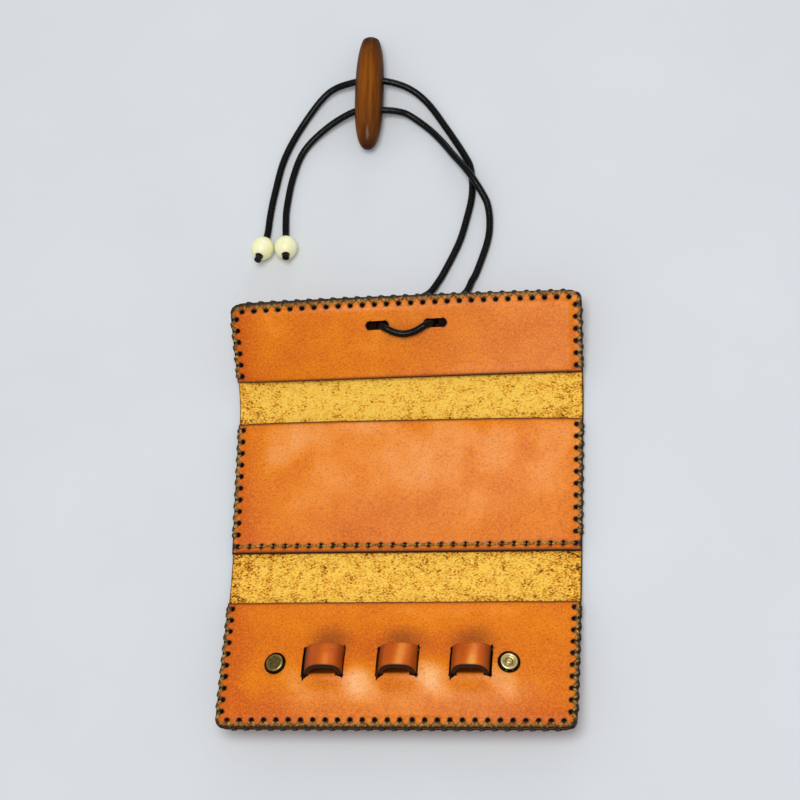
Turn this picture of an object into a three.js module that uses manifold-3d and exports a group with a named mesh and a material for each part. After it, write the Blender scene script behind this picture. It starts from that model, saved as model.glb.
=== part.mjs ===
// An opened plectrum case: a leather cover with three slip pockets laced to it, a strip woven into three
// plectrum loops, and a tie cord that carries a wooden toggle and two beads.
// Millimetres, +Z up, +X to the right and +Y towards the flap. The origin is below the middle of the case,
// on the surface that it lies on.
import * as THREE from "three";
import { mergeVertices } from "three/addons/utils/BufferGeometryUtils.js";
import Module from "manifold-3d";

// Leather
const WIDTH = 117;
const COVER = 2.0; // thickness of the cover
const PANEL = 1.6; // thickness of a pocket panel
const CORNER = 4.5; // radius of the case's four corners
const GAP = 0.3; // clearance between neighbouring pieces

// The cover from its bottom edge to the flap's edge: each section's length along the cover's outside, the
// degrees that it turns on the middle line, how many more at the right edge, as fewer at the left, and the
// steps it is drawn in
const SECTIONS = [
  { name: "lower", length: 44.1, turn: 0, twist: 0, steps: 1 },
  { name: "low_fold", length: 17.6, turn: 12.4, twist: 0, steps: 4 },
  { name: "middle", length: 44.7, turn: 0, twist: 0, steps: 1 },
  { name: "high_fold", length: 16.2, turn: 26.2, twist: -10.9, steps: 7 },
  { name: "flap", length: 27.8, turn: 0, twist: 0, steps: 3 },
];

// How far each pocket stands off the cover at its fullest, and how flat it is from side to side
const LOWER_RISE = 3.5; // over the row of loops
const LOWER_MOUTH = 0.3; // share of that rise left at the mouth
const LOWER_DRAW = 0.9; // how far the mouth's middle is drawn down
const MIDDLE_RISE = 2.0; // at the mouth
const FLAP_RISE = 0.6; // at the mouth
const FLATNESS = 4;

// Cord slots in the flap
const SLOT_LENGTH = 7.6;
const SLOT_HEIGHT = 3.0;
const SLOT_SPACING = 19.2;
const SLOT_MIDDLE = 0.3; // off the case's middle line
const SLOT_UP = 18.0; // above the flap pocket's mouth

// Loop strip
const STRIP = 1.6; // thickness
const STRIP_WIDTH = 9.9;
const STRIP_DOWN = 23.0; // below the lower pocket's mouth
const STRIP_END = 4.6; // past each rivet
const SLIT_LENGTH = 11.8;
const SLIT_SHIFT = 0.4; // a loop's left slit lies this much below the strip's middle, its right one above
const LOOP_SPAN = 10.9; // between a loop's two slits
const LOOP_LOW = 8.3; // height of a loop's lower edge over the panel
const LOOP_HIGH = 4.9; // height of its upper edge
const LOOPS = [
  { middle: -23.3, lean: 1.4 },
  { middle: 0.8, lean: 0.9 },
  { middle: 24.4, lean: 0.2 },
];

// Rivets
const RIVET_LEFT = -39.3;
const RIVET_RIGHT = 36.3;
const RIVET_R = 3.65;
const RIVET_SHANK = 1.3;
const RIVET_HIGH = 0.9; // the cap
const RIVET_BACK = 2.9; // radius of the set end
const RIVET_BACK_HIGH = 0.5;
// The cap's outline from its edge to its middle, as shares of its radius and height
const RIVET_CAP = [
  { r: 1, z: 0 },
  { r: 1, z: 0.45 },
  { r: 0.9, z: 0.9 },
  { r: 0.75, z: 1 },
  { r: 0.6, z: 0.55 },
  { r: 0.3, z: 0.55 },
  { r: 0.2, z: 0.9 },
  { r: 0, z: 1 },
];

// Tie cord, toggle and beads
const CORD_R = 1.2;
const TOGGLE_LENGTH = 42;
const TOGGLE_R = 5.0;
const TOGGLE_ROUND = 2.3; // exponent of its barrel outline
const TOGGLE_BLUNT = 0.955; // where that outline is cut off at the far end
const TOGGLE_X = -17;
const TOGGLE_Y = 150.4;
const TOGGLE_TURN = 1.5; // degrees off the case's length
const TOGGLE_HOLES = { upper: 154.4, lower: 143.4 };
const BEAD_R = 3.8;
const BEAD_HALF = 4.4; // half its length
const BEAD_Z = 3.95;
const BEAD_TILT = 26; // degrees that a bead's lower mouth is tipped up
const BEADS = [
  { side: "left", x: -52.6, y: 94.1, turn: -10 },
  { side: "right", x: -44.4, y: 94.2, turn: 8 },
];

// The stretch of cord in the flap: x, up along the flap from the pocket's mouth, and out from the cover's
// outside
const BIGHT_ROUTE = [
  { x: -7.3, up: 20.1, out: -2.6 },
  { x: -8.3, up: 19.0, out: -1.7 },
  { x: -8.8, up: 18.2, out: 0.2 },
  { x: -8.7, up: 17.9, out: 2.2 },
  { x: -8.0, up: 17.8, out: 4.2 },
  { x: -6.3, up: 17.1, out: 5.5 },
  { x: -3.8, up: 15.8, out: 5.7 },
  { x: -1.0, up: 15.0, out: 5.6 },
  { x: 1.8, up: 15.2, out: 5.6 },
  { x: 4.5, up: 16.2, out: 5.7 },
  { x: 6.8, up: 17.5, out: 5.3 },
  { x: 8.5, up: 18.0, out: 3.6 },
  { x: 9.3, up: 18.1, out: 1.6 },
  { x: 9.8, up: 18.4, out: -0.4 },
  { x: 10.2, up: 19.1, out: -1.9 },
  { x: 10.7, up: 20.1, out: -2.9 },
];
// The free ends, from the back of the flap over the surface, through the toggle and a bead: x, y, z
const LEFT_ROUTE = [
  [-7.1, 66.1, 10.7],
  [-4.6, 68.6, 9.4],
  [-1.6, 71.0, 7.2],
  [2.0, 73.6, 4.8],
  [5.7, 76.6, 2.5],
  [8.1, 80.3, 1.5],
  [10.6, 84.8, 1.3],
  [15.2, 94.8, 1.3],
  [17.7, 103.8, 1.3],
  [19.3, 112.5, 1.3],
  [18.7, 121.4, 1.3],
  [16.5, 126.7, 1.3],
  [10.0, 137.0, 1.4],
  [3.0, 146.8, 2.0],
  [-3.7, 152.0, 3.6],
  [-11.6, 154.4, 4.95],
  [-17.1, 154.4, 5.0],
  [-22.6, 154.4, 4.95],
  [-31.8, 151.6, 3.2],
  [-40.3, 141.4, 1.5],
  [-46.8, 128.5, 1.3],
  [-49.8, 115.2, 1.3],
  [-51.0, 107.4, 1.3],
  [-51.4, 102.8, 1.3],
  [-51.7, 99.9, 1.5],
  [-52.0, 97.7, 2.2],
  [-52.6, 94.1, 3.95],
  [-53.7, 87.6, 7.15],
];
const RIGHT_ROUTE = [
  [10.8, 66.8, 8.8],
  [12.4, 69.3, 7.2],
  [14.6, 72.0, 5.2],
  [16.7, 74.6, 3.5],
  [18.5, 77.1, 2.2],
  [19.9, 80.8, 1.4],
  [21.6, 84.4, 1.3],
  [24.8, 94.4, 1.3],
  [25.6, 101.0, 1.4],
  [25.0, 107.4, 2.0],
  [23.2, 111.8, 2.8],
  [18.4, 119.3, 4.2],
  [12.5, 126.8, 2.9],
  [8.3, 132.3, 1.8],
  [3.5, 137.3, 1.6],
  [-2.9, 142.0, 2.6],
  [-6.6, 143.1, 3.9],
  [-11.4, 143.4, 4.95],
  [-16.9, 143.4, 5.0],
  [-22.2, 143.3, 4.9],
  [-31.3, 138.8, 3.2],
  [-39.8, 131.1, 1.5],
  [-43.6, 120.9, 1.3],
  [-45.3, 109.8, 1.3],
  [-45.4, 104.0, 1.3],
  [-45.2, 100.2, 1.5],
  [-44.95, 97.8, 2.2],
  [-44.4, 94.2, 3.95],
  [-43.75, 89.6, 6.2],
];

// How finely curved shapes are stepped
const COVER_COLUMNS = 7;
const FLAP_GRID = { rows: 6, columns: 14 };
const MIDDLE_GRID = { rows: 12, columns: 16 };
const LOWER_GRID = { rows: 14, columns: 24 };
const CORNER_STEPS = 5;
const SLOT_STEPS = 5; // round each end
const BEND_STEPS = 3;
const LOOP_STEPS = 14;
const TOGGLE_STEPS = 16;
const BEAD_STEPS = 8;
const CORD_STEPS = { bight: 16, left: 34, right: 30 };
const CORD_SIDES = 8;
const ROUND_SIDES = 14;
const HOLE_SIDES = 10;

const RADIANS = Math.PI / 180;
const HALF = WIDTH / 2;

// Colour, roughness and metalness of each material
const LOOKS = {
  cover: ["#d9a040", 0.85, 0],
  panel: ["#dd7a2c", 0.5, 0],
  strip: ["#cf6818", 0.45, 0],
  brass: ["#8a7440", 0.4, 1],
  cord: ["#1e1f1b", 0.5, 0],
  wood: ["#6f3d10", 0.3, 0],
  bead: ["#f6eec0", 0.35, 0],
};

// The case's bent profile

// The point that lies a length and a turn further along from a point of the profile.
function advance(from, length, turn) {
  const heading = from.heading + turn;
  if (turn === 0) {
    const y = from.y + length * Math.cos(heading);
    return { y, z: from.z + length * Math.sin(heading), heading };
  }
  const radius = length / turn;
  const y = from.y + radius * (Math.sin(heading) - Math.sin(from.heading));
  const z = from.z + radius * (Math.cos(from.heading) - Math.cos(heading));
  return { y, z, heading };
}

// Where each section starts and ends along the cover.
const SPAN = {};
let reached = 0;
for (const { name, length, steps } of SECTIONS) {
  SPAN[name] = { start: reached, end: reached + length, length, steps };
  reached += length;
}
const LENGTH = reached;

// The profile at one place across, followed from the bottom edge; it comes to the middle section level.
function follow(x, s) {
  const lowTurn = SECTIONS.find(({ name }) => name === "low_fold").turn;
  let point = { y: 0, z: 0, heading: -lowTurn * RADIANS };
  let ahead = s;
  for (const { length, turn, twist } of SECTIONS) {
    const along = Math.min(ahead, length);
    const bend = (turn + (twist * x) / HALF) * RADIANS;
    point = advance(point, along, (bend * along) / length);
    ahead -= along;
  }
  return point;
}

// The origin is halfway to the flap's furthest corner, on the level of the middle section.
const MIDDLE_Y = follow(HALF - CORNER, LENGTH).y / 2;
const MIDDLE_Z = follow(0, SPAN.middle.start).z;

function profileAt(x, s) {
  const { y, z, heading } = follow(x, s);
  return { y: y - MIDDLE_Y, z: z - MIDDLE_Z, heading };
}

// A place on the case: across, along the profile, and out from the cover's outside.
function place(x, s, out) {
  const { y, z, heading } = profileAt(x, s);
  return new THREE.Vector3(x, y - out * Math.sin(heading), z + out * Math.cos(heading));
}

function frameAt(x, s, out) {
  const { heading } = profileAt(x, s);
  const frame = new THREE.Matrix4().makeRotationX(heading);
  return frame.setPosition(place(x, s, out));
}

// Half the case's width, less what its rounded corners take at either end.
function halfWidth(s) {
  const inset = CORNER - Math.min(s, LENGTH - s, CORNER);
  return HALF - CORNER + Math.sqrt(Math.max(0, CORNER ** 2 - inset ** 2));
}

// Solids

const wasm = await Module();
wasm.setup();

function solidOf(geometry) {
  const bare = geometry.clone();
  bare.deleteAttribute("normal");
  bare.deleteAttribute("uv");
  const merged = mergeVertices(bare, 1e-4);
  const vertProperties = merged.getAttribute("position").array;
  const triVerts = new Uint32Array(merged.index.array);
  return new wasm.Manifold(new wasm.Mesh({ numProp: 3, vertProperties, triVerts }));
}

function cut(geometry, tools) {
  const left = tools.reduce((rest, tool) => rest.subtract(solidOf(tool)), solidOf(geometry));
  const { vertProperties, triVerts } = left.getMesh();
  const made = new THREE.BufferGeometry();
  made.setAttribute("position", new THREE.BufferAttribute(vertProperties, 3));
  return made.setIndex(new THREE.BufferAttribute(triVerts, 1));
}

// A closed skin round a grid of front points and the matching grid of back points, both as rows of columns.
function skin(front, back) {
  const rows = front.length;
  const columns = front[0].length;
  const points = [...front.flat(), ...back.flat()];
  const faces = [];
  const frontAt = (row, column) => row * columns + column;
  const backAt = (row, column) => (rows + row) * columns + column;
  const quad = (a, b, c, d) => faces.push(a, b, c, a, c, d);
  for (let row = 0; row + 1 < rows; row++) {
    for (let column = 0; column + 1 < columns; column++) {
      const [r, c] = [row + 1, column + 1];
      quad(frontAt(row, column), frontAt(row, c), frontAt(r, c), frontAt(r, column));
      quad(backAt(row, column), backAt(r, column), backAt(r, c), backAt(row, c));
    }
    const last = columns - 1;
    quad(frontAt(row, 0), frontAt(row + 1, 0), backAt(row + 1, 0), backAt(row, 0));
    quad(frontAt(row, last), backAt(row, last), backAt(row + 1, last), frontAt(row + 1, last));
  }
  for (let column = 0; column + 1 < columns; column++) {
    const c = column + 1;
    const last = rows - 1;
    quad(frontAt(0, column), backAt(0, column), backAt(0, c), frontAt(0, c));
    quad(frontAt(last, column), frontAt(last, c), backAt(last, c), backAt(last, column));
  }
  const made = new THREE.BufferGeometry().setFromPoints(points);
  return made.setIndex(faces);
}

// Numbers from one value to another in equal steps, both ends among them.
function steps(from, to, count) {
  return Array.from({ length: count + 1 }, (_, i) => from + ((to - from) * i) / count);
}

// Distances from an end of the case where its corner's arc is stepped.
function cornerSteps() {
  return steps(0, 90, CORNER_STEPS).map((degrees) => CORNER * (1 - Math.cos(degrees * RADIANS)));
}

// A sheet over the case's outline, from its lower to its upper surface; draw pulls its last rows in.
function sheet(rows, columns, lower, thickness, draw = () => 0) {
  const grid = (extra) =>
    rows.map((s) =>
      steps(-1, 1, columns).map((share) => {
        const x = share * halfWidth(s);
        const at = s - draw(x, s);
        return place(x, at, lower(x, s) + extra);
      }),
    );
  return skin(grid(thickness), grid(0));
}

// Leather pieces

const smooth = (t) => t * t * (3 - 2 * t);
const across = (x) => 1 - Math.abs(x / HALF) ** FLATNESS;
const STRIP_S = SPAN.lower.end - STRIP_DOWN;
const FLAP_S = SPAN.flap.start;

function lowerLift(x, s) {
  const mouth = (s - STRIP_S) / (SPAN.lower.end - STRIP_S);
  const share = s < STRIP_S ? smooth(s / STRIP_S) : 1 - (1 - LOWER_MOUTH) * smooth(mouth);
  return GAP + LOWER_RISE * share * across(x);
}

function middleLift(x, s) {
  const { start, length } = SPAN.middle;
  return GAP + MIDDLE_RISE * smooth((s - start) / length) * across(x);
}

function flapLift(x, s) {
  const down = (LENGTH - s) / SPAN.flap.length;
  return GAP + FLAP_RISE * down ** 2 * across(x);
}

// A through cut with round ends, centred on a place of the case, its length across or along it.
function slotTool(x, s, length, width, upright) {
  const radius = width / 2;
  const reach = length / 2 - radius;
  const outline = new THREE.Shape();
  outline.absarc(reach, 0, radius, -Math.PI / 2, Math.PI / 2);
  outline.absarc(-reach, 0, radius, Math.PI / 2, (3 * Math.PI) / 2);
  const depth = 4 * (COVER + PANEL);
  const tool = new THREE.ExtrudeGeometry(outline, { depth, bevelEnabled: false, curveSegments: SLOT_STEPS });
  if (upright) tool.rotateZ(Math.PI / 2);
  return tool.applyMatrix4(frameAt(x, s, -depth / 4));
}

function cordSlots() {
  const middles = [SLOT_MIDDLE - SLOT_SPACING / 2, SLOT_MIDDLE + SLOT_SPACING / 2];
  return middles.map((x) => slotTool(x, FLAP_S + SLOT_UP, SLOT_LENGTH, SLOT_HEIGHT, false));
}

function cover() {
  const rows = cornerSteps();
  for (const { start, end, steps: count } of Object.values(SPAN)) {
    rows.push(...steps(Math.max(start, CORNER), Math.min(end, LENGTH - CORNER), count).slice(1));
  }
  rows.push(...cornerSteps().reverse().slice(1).map((inset) => LENGTH - inset));
  return cut(sheet(rows, COVER_COLUMNS, () => 0, COVER), cordSlots());
}

function flapPocket() {
  const rows = steps(FLAP_S, LENGTH - CORNER, FLAP_GRID.rows);
  rows.push(...cornerSteps().reverse().slice(1).map((inset) => LENGTH - inset));
  return cut(sheet(rows, FLAP_GRID.columns, (x, s) => COVER + flapLift(x, s), PANEL), cordSlots());
}

function middlePocket() {
  const { start, end } = SPAN.middle;
  const rows = steps(start, end, MIDDLE_GRID.rows);
  return sheet(rows, MIDDLE_GRID.columns, (x, s) => COVER + middleLift(x, s), PANEL);
}

function lowerPocket() {
  const rows = [...cornerSteps(), ...steps(CORNER, SPAN.lower.end, LOWER_GRID.rows).slice(1)];
  const draw = (x, s) => LOWER_DRAW * across(x) * smooth(s / SPAN.lower.end);
  const panel = sheet(rows, LOWER_GRID.columns, (x, s) => COVER + lowerLift(x, s), PANEL, draw);
  const slitWidth = STRIP + 2 * GAP;
  const slits = LOOPS.flatMap(({ middle }) =>
    [-1, 1].map((side) => {
      const x = middle + (side * LOOP_SPAN) / 2;
      return slotTool(x, STRIP_S + side * SLIT_SHIFT, SLIT_LENGTH, slitWidth, true);
    }),
  );
  return cut(panel, [...slits, ...rivetHoles()]);
}

// The strip's middle surface, as stations along it: x, its height off the panel's middle surface, and how
// much of a loop's own height is added there.
function stripStations() {
  const bend = STRIP / 2 + GAP; // about the slit's edge under the panel
  const under = -(PANEL / 2 + GAP + STRIP / 2);
  const quarter = steps(0, 90, BEND_STEPS).map((degrees) => degrees * RADIANS);
  const stations = [{ x: RIVET_LEFT - STRIP_END, height: under, arch: 0 }];
  for (const { middle, lean } of LOOPS) {
    const left = middle - LOOP_SPAN / 2;
    const right = middle + LOOP_SPAN / 2;
    const turnUp = (angle, x) => ({ x, height: under + bend - bend * Math.cos(angle), arch: 0 });
    stations.push(...quarter.map((angle) => turnUp(angle, left - bend + bend * Math.sin(angle))));
    for (const degrees of steps(0, 180, LOOP_STEPS)) {
      const arch = Math.sin(degrees * RADIANS);
      const x = middle - (LOOP_SPAN / 2) * Math.cos(degrees * RADIANS) + lean * arch;
      stations.push({ x, height: PANEL / 2, arch });
    }
    const down = quarter.toReversed();
    stations.push(...down.map((angle) => turnUp(angle, right + bend - bend * Math.sin(angle))));
  }
  stations.push({ x: RIVET_RIGHT + STRIP_END, height: under, arch: 0 });
  return stations;
}

function loopStrip() {
  const stations = stripStations();
  const columns = steps(-1, 1, 2);
  const fall = LOOP_LOW - LOOP_HIGH; // from a loop's lower edge to its upper one
  const heights = columns.map((share) =>
    stations.map(({ height, arch }) => {
      const loop = (LOOP_LOW + LOOP_HIGH) / 2 - (share * fall) / 2 - STRIP / 2;
      return height + arch * loop;
    }),
  );
  const surface = (side) =>
    stations.map(({ x, arch }, i) =>
      columns.map((share, column) => {
        const before = Math.max(i - 1, 0);
        const after = Math.min(i + 1, stations.length - 1);
        const run = stations[after].x - stations[before].x;
        const climb = heights[column][after] - heights[column][before];
        const offset = (side * STRIP) / 2 / Math.hypot(run, climb);
        const reach = Math.sqrt(STRIP_WIDTH ** 2 - (arch * fall) ** 2) / 2;
        const s = STRIP_S + share * reach + (offset * run * arch * fall) / STRIP_WIDTH;
        const panelMiddle = COVER + lowerLift(x, s) + PANEL / 2;
        const out = panelMiddle + heights[column][i] + offset * run;
        return place(x - offset * climb, s, out);
      }),
    );
  return cut(skin(surface(-1), surface(1)), rivetHoles());
}

// Rivets

// The panel's front at a place on the row of loops, with its own normal as the local +Z.
function seatAt(x) {
  const onPanel = (at) => place(at, STRIP_S, COVER + lowerLift(at, STRIP_S) + PANEL);
  const sideways = onPanel(x + RIVET_R).sub(onPanel(x - RIVET_R)).normalize();
  const along = new THREE.Vector3().setFromMatrixColumn(frameAt(x, STRIP_S, 0), 1);
  const normal = sideways.clone().cross(along);
  return new THREE.Matrix4().makeBasis(sideways, along, normal).setPosition(onPanel(x));
}

// A lathed piece has its axis along Y; this turns that axis to +Z.
function upright(geometry) {
  return geometry.rotateX(Math.PI / 2);
}

function rivetHoles() {
  return [RIVET_LEFT, RIVET_RIGHT].map((x) => {
    const radius = RIVET_SHANK + GAP;
    const depth = 3 * (PANEL + STRIP);
    const hole = upright(new THREE.CylinderGeometry(radius, radius, depth, HOLE_SIDES));
    return hole.applyMatrix4(seatAt(x));
  });
}

// A dished cap with a raised rim and a pip in its middle, a shank, and the set end behind the strip.
function rivet() {
  const back = -(PANEL + GAP + STRIP + GAP);
  const cap = RIVET_CAP.map(({ r, z }) => [r * RIVET_R, GAP + z * RIVET_HIGH]);
  const outline = [
    [0, back - RIVET_BACK_HIGH],
    [RIVET_BACK, back - RIVET_BACK_HIGH],
    [RIVET_BACK, back],
    [RIVET_SHANK, back],
    [RIVET_SHANK, GAP],
    ...cap,
  ].map(([r, z]) => new THREE.Vector2(r, z));
  return upright(new THREE.LatheGeometry(outline, ROUND_SIDES));
}

// Cord, toggle and beads

function cordTube(points, stepCount) {
  const angles = steps(0, 2 * Math.PI, CORD_SIDES).slice(1);
  const round = angles.map((angle) => new THREE.Vector2(CORD_R * Math.cos(angle), CORD_R * Math.sin(angle)));
  const outline = new THREE.Shape(round);
  const extrudePath = new THREE.CatmullRomCurve3(points);
  return new THREE.ExtrudeGeometry(outline, { steps: stepCount, extrudePath, bevelEnabled: false });
}

function bight() {
  const points = BIGHT_ROUTE.map(({ x, up, out }) => place(x, FLAP_S + up, out));
  return cordTube(points, CORD_STEPS.bight);
}

const freeCord = (route, stepCount) => cordTube(route.map((point) => new THREE.Vector3(...point)), stepCount);

// A barrel that lies along Y, with a cross hole for each cord end.
function toggle() {
  const end = TOGGLE_LENGTH / 2;
  const bore = CORD_R + GAP;
  const radius = (share) => TOGGLE_R * (1 - share ** TOGGLE_ROUND) ** (1 / TOGGLE_ROUND);
  const outline = steps(-90, 90, TOGGLE_STEPS).map((degrees) => {
    const along = Math.sin(degrees * RADIANS);
    return new THREE.Vector2(radius(along > 0 ? along * TOGGLE_BLUNT : -along), end * along);
  });
  outline.push(new THREE.Vector2(0, end));
  const holes = Object.values(TOGGLE_HOLES).map((y) => {
    const hole = new THREE.CylinderGeometry(bore, bore, 4 * TOGGLE_R, HOLE_SIDES);
    return hole.rotateZ(Math.PI / 2).translate(0, y - TOGGLE_Y, 0);
  });
  return cut(new THREE.LatheGeometry(outline, ROUND_SIDES), holes);
}

// An oval ball drilled along Y.
function bead() {
  const bore = CORD_R + GAP;
  const mouth = Math.asin(bore / BEAD_R);
  const outline = steps(mouth, Math.PI - mouth, BEAD_STEPS).map(
    (angle) => new THREE.Vector2(BEAD_R * Math.sin(angle), -BEAD_HALF * Math.cos(angle)),
  );
  outline.push(outline[0].clone());
  return new THREE.LatheGeometry(outline, ROUND_SIDES);
}

// The case as a scene graph

function piece(name, geometry, look) {
  const [color, roughness, metalness] = LOOKS[look];
  const material = new THREE.MeshStandardMaterial({ color, roughness, metalness });
  const mesh = new THREE.Mesh(geometry, material);
  mesh.name = name;
  return mesh;
}

const plectrumCase = new THREE.Group();

const leather = new THREE.Group();
leather.add(
  piece("cover", cover(), "cover"),
  piece("flap_pocket", flapPocket(), "panel"),
  piece("middle_pocket", middlePocket(), "panel"),
  piece("lower_pocket", lowerPocket(), "panel"),
  piece("loop_strip", loopStrip(), "strip"),
);
for (const [side, x] of Object.entries({ left: RIVET_LEFT, right: RIVET_RIGHT })) {
  const mesh = piece(`rivet_${side}`, rivet(), "brass");
  seatAt(x).decompose(mesh.position, mesh.quaternion, mesh.scale);
  leather.add(mesh);
}

const tie = new THREE.Group();
tie.add(
  piece("cord_bight", bight(), "cord"),
  piece("cord_left", freeCord(LEFT_ROUTE, CORD_STEPS.left), "cord"),
  piece("cord_right", freeCord(RIGHT_ROUTE, CORD_STEPS.right), "cord"),
);
const toggleMesh = piece("toggle", toggle(), "wood");
toggleMesh.position.set(TOGGLE_X, TOGGLE_Y, TOGGLE_R);
toggleMesh.rotation.z = TOGGLE_TURN * RADIANS;
tie.add(toggleMesh);
for (const { side, x, y, turn } of BEADS) {
  const mesh = piece(`bead_${side}`, bead(), "bead");
  mesh.position.set(x, y, BEAD_Z);
  mesh.rotation.set(-BEAD_TILT * RADIANS, 0, turn * RADIANS, "ZYX");
  tie.add(mesh);
}

plectrumCase.add(leather, tie);

export default plectrumCase;
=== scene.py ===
"""An opened leather plectrum case: three pockets laced to a suede-lined cover, a strip woven into plectrum
loops, and a tie cord that carries a wooden toggle and two beads.

Sizes are in millimetres until a piece is made, and its mesh or curve is then in metres in the part's frame:
+X to the right, +Y towards the flap, +Z up. The case is bent along its length, so its pieces are laid out
flat as x across it, s along the cover's outside from the bottom edge, and out from the cover's outside.
"""
import math

import bpy
import numpy as np
from mathutils import Matrix, Vector


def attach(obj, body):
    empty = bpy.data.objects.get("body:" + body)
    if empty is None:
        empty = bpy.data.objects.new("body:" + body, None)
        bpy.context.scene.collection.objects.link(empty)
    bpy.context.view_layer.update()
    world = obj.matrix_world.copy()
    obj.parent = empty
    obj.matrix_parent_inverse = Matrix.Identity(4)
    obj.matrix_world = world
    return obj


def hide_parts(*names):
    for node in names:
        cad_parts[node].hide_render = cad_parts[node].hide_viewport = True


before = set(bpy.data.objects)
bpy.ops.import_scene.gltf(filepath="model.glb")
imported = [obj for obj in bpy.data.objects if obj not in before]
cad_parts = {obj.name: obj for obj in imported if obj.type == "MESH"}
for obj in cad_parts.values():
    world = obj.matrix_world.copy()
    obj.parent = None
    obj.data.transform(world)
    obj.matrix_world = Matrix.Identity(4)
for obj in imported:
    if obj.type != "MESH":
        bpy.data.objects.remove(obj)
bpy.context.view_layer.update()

MM = 0.001

# Leather
WIDTH = 117.0
COVER = 2.0
PANEL = 1.6
LACE_ROOM = 0.5  # how far the leather's edge lies in from the lacing's outside
LACED_CORNER = 4.5
CORNER = LACED_CORNER - LACE_ROOM
SEAM = 0.08  # between a pocket and the cover where they are laced together
ROLL = 0.65  # radius of a rounded leather edge
MOUTH_DYE = 1.4  # how far in from an edge the dark dye reaches
EDGE_DYE = 1.1
COVER_DYE = 0.9
# Round a pocket's holes, and on the cover as painted shade under each hole.
HOLE_DYE_AND_SHADE = 0.5

# Sections of the cover from its bottom edge to the flap's edge, and the turns of its two folds in degrees
LENGTHS = (44.1, 17.6, 44.7, 16.2, 27.8)
LOWER_END, MIDDLE_START, MIDDLE_END, FLAP_START, LENGTH = np.cumsum(LENGTHS)
LOW_TURN = 12.4
HIGH_TURN = 26.2  # on the middle line
HIGH_TWIST = -10.9  # added at the right edge, taken off at the left
HALF = WIDTH / 2 - LACE_ROOM
LOW_EDGE = LACE_ROOM
HIGH_EDGE = LENGTH - LACE_ROOM

# How far each pocket stands off the cover
LOWER_RISE = 3.5
LOWER_MOUTH = 0.3  # share of the rise that is left at the mouth
LOWER_LIP = 0.6
LIP_LENGTH = 7
LOWER_DRAW = 0.9  # how far the loops pull the mouth down
RIDGE_HALF = 55  # the ridge along the strip ends this far out
RIDGE_FADE = 22
MIDDLE_RISE = 2.0
FLAP_RISE = 0.6
LEG_SWELL = 1.1  # beside each loop's legs
LOOP_SWELL = 1.7  # below each loop
RIVET_PRESS = 0.3
FLATNESS = 4  # 2 for a round arch, more for a flatter one
RIPPLE = 0.11  # height of slow waves
PANEL_STEP = 0.75  # grid of a pocket's mesh
COVER_STEP = 1.0

# Cord slots in the flap pocket, and the cord's holes behind them
SLOT_LENGTH = 7.6
SLOT_HEIGHT = 3.0
SLOT_STRAIGHT = SLOT_LENGTH - SLOT_HEIGHT
SLOT_S = FLAP_START + 18.0
SLOTS_X = (0.3 - 9.6, 0.3 + 9.6)
CORD_HOLES = ((-8.75, FLAP_START + 18.05), (9.45, FLAP_START + 18.2))
CORD_HOLE_R = 1.3

# Loop strip
STRIP = 1.6
STRIP_WIDTH = 10.0
STRIP_S = LOWER_END - 23.0
STRIP_END = 4.6  # past each rivet
STRIP_GAP = 0.3  # between the strip and the panel
SLIT_LENGTH = 11.8
SLIT_SHIFT = 0.4  # a loop's left slit lies this much lower, its right slit higher
SLIT_ROOM = 0.3  # on the outer side of a loop's leg
LOOP_SPAN = 10.9
LOOP_LOW = 8.3  # height at the strip's lower edge
LOOP_HIGH = 4.9  # height at its upper edge
LOOP_SQUARE = 2.8  # 2 for an oval arch, more for a squarer one
LOOPS = ((-23.3, 1.4), (0.8, 0.9), (24.4, 0.2))  # middle, and how far the top leans to the right

# Rivets
RIVET_X = {"left": -39.3, "right": 36.3}
RIVET_R = 3.65
RIVET_SHANK = 1.3
RIVET_HOLE_R = RIVET_SHANK + 0.2
RIVET_BACK_R = 2.9
RIVET_BACK = 0.5
RIVET_LIFT = 0.05  # of the cap off the leather

# Lacing and stitching
LACE_WIDTH = 1.15
LACE_HIGH = 0.45
LACE_OVER = 0.1  # how far one lace passes over another
LACE_APART = 0.2  # from a hole's middle
STITCH_WIDTH = 0.8
STITCH_HIGH = 0.5
STITCH_SLANT = 0.3
STITCH = (  # share of the way to the next hole, height over the leather
    (0.09, -1.0), (0.11, -0.3), (0.19, 0.14), (0.5, 0.24), (0.81, 0.14), (0.89, -0.3), (0.91, -1.0),
)
HOLE_R = 0.72
SIDE_INSET = 1.9
END_INSET = 2.35
END_HOLES = 28
LACE_PITCH = 4.0  # down the sides
SIDE_HOLES = {"flap": (2.4, 6), "middle": (2.2, 10), "lower": (2.25, 10)}  # first from the mouth, number
FRONT_PINCH = 0.35  # how far the lacing presses the leather in
BACK_PINCH = 0.5
STITCH_S = MIDDLE_START + 2.5
STITCH_X = 56.0
STITCHES = 28

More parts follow.
